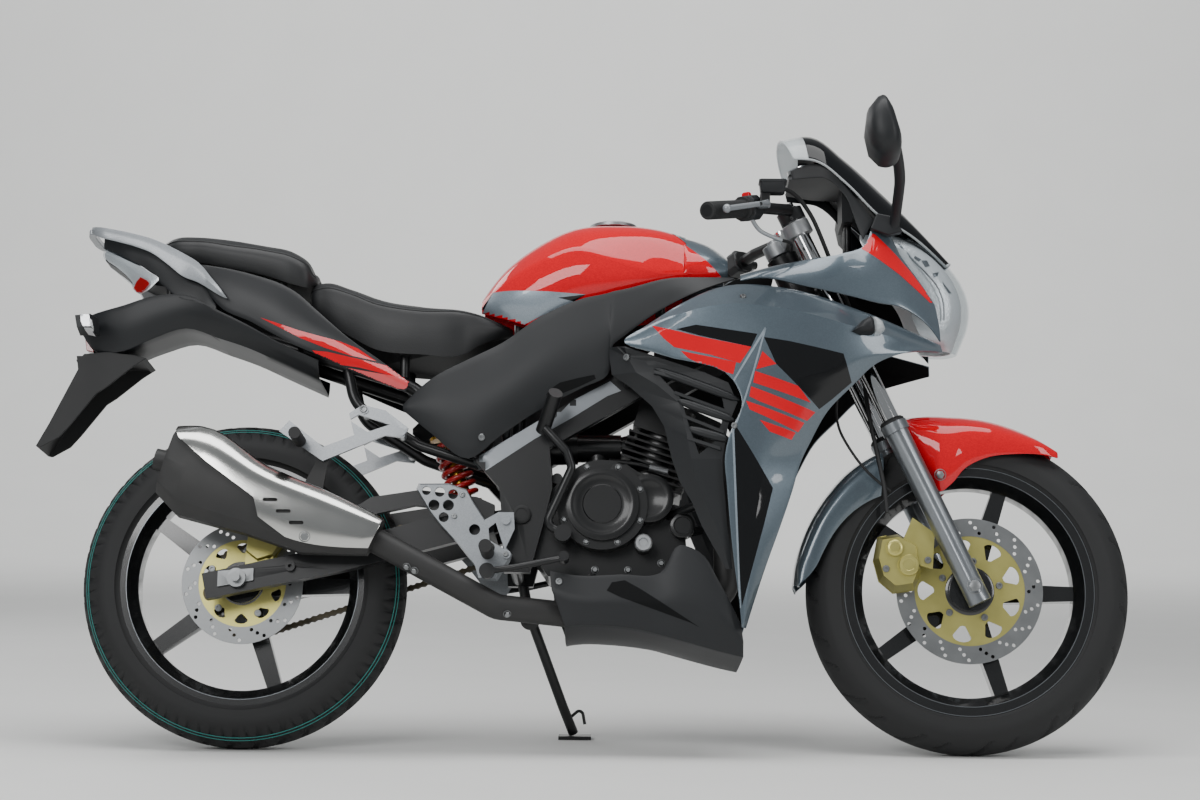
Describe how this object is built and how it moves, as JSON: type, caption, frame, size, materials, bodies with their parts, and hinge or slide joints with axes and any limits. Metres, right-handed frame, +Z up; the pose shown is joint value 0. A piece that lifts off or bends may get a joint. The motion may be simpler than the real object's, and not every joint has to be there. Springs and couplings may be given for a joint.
{
  "type": "sport bike",
  "caption": "Small faired sport bike leaning on its side stand, with turning wheels, steering and a folding stand.",
  "frame": {"origin": "middle of the outline on the road, under the bike as it leans on its side stand", "axes": "+X towards the front wheel, +Y towards the bike's left, +Z up from the road"},
  "size_m": [2.015, 0.8098, 1.1871],
  "materials": {
    "black_alloy": "gloss",
    "black_plastic": "matt",
    "black_rubber": "matt",
    "black_steel": "satin",
    "cast_alloy": "satin",
    "chrome_plate": "polished",
    "clear_lens": "gloss",
    "dark_screen": "gloss",
    "gold_alloy": "satin",
    "gold_shock": "satin",
    "grey_alloy": "satin",
    "grey_paint": "gloss",
    "red_paint": "gloss",
    "red_spring": "gloss",
    "satin_steel": "satin",
    "seat_vinyl": "satin",
    "silver_alloy": "satin",
    "tyre_rubber": "matt"
  },
  "bodies": {
    "chassis": {"belly_pan": "black_plastic", "carburettor": "cast_alloy", "cylinder": "cast_alloy", "dash_panel": "black_plastic", "drive_chain": "satin_steel", "engine_case": "cast_alloy", "exhaust": "black_steel", "fairing_sides": "grey_paint", "foot_levers": "black_steel", "foot_pegs": "silver_alloy", "footrest_plates": "silver_alloy", "fuel_cap": "black_plastic", "fuel_tank": "red_paint", "grab_rails": "silver_alloy", "headlight": "clear_lens", "indicators": "clear_lens", "main_frame": "black_steel", "mirrors": "black_plastic", "muffler_shield": "satin_steel", "nose_cowl": "grey_paint", "pillion_seat": "seat_vinyl", "rear_axle": "satin_steel", "rear_caliper": "gold_alloy", "rear_mudguard": "black_plastic", "rider_seat": "seat_vinyl", "shock_absorber": "gold_shock", "shock_spring": "red_spring", "side_covers": "black_plastic", "swingarm": "black_steel", "tail_covers": "black_plastic", "tail_light": "clear_lens", "tail_tray": "black_plastic", "tank_cover": "grey_paint", "vent_panels": "black_plastic", "windscreen": "dark_screen"},
    "front_end": {"fork_tubes": "chrome_plate", "fork_sliders": "grey_alloy", "fork_clamps": "silver_alloy", "handlebars": "black_steel", "grips": "black_rubber", "front_mudguard": "red_paint", "mudguard_flap": "grey_paint", "front_caliper": "gold_alloy", "brake_hose": "black_rubber"},
    "front_wheel": {"front_rim": "black_alloy", "front_tyre": "tyre_rubber", "front_disc": "satin_steel"},
    "rear_wheel": {"rear_rim": "black_alloy", "rear_tyre": "tyre_rubber", "rear_disc": "satin_steel", "rear_sprocket": "satin_steel"},
    "side_stand": {"side_stand": "black_steel"}
  },
  "joints": [
    {"name": "steering", "type": "hinge", "parent": "chassis", "child": "front_end", "pos_m": [0.36808, -0.02607, 0.92028], "axis": [-0.4305, 0.1567, 0.8889], "range_deg": [-28, 28]},
    {"name": "front_wheel_spin", "type": "hinge", "parent": "front_end", "child": "front_wheel", "pos_m": [0.7105, -0.13661, 0.29335], "axis": [0, 0.9848, -0.1736], "continuous": true},
    {"name": "rear_wheel_spin", "type": "hinge", "parent": "chassis", "child": "rear_wheel", "pos_m": [-0.6195, -0.13641, 0.29451], "axis": [0, 0.9848, -0.1736], "continuous": true},
    {"name": "side_stand_fold", "type": "hinge", "parent": "chassis", "child": "side_stand", "pos_m": [-0.0975, -0.01285, 0.2351], "axis": [0, 0.9703, 0.2419], "range_deg": [0, 100]}
  ]
}
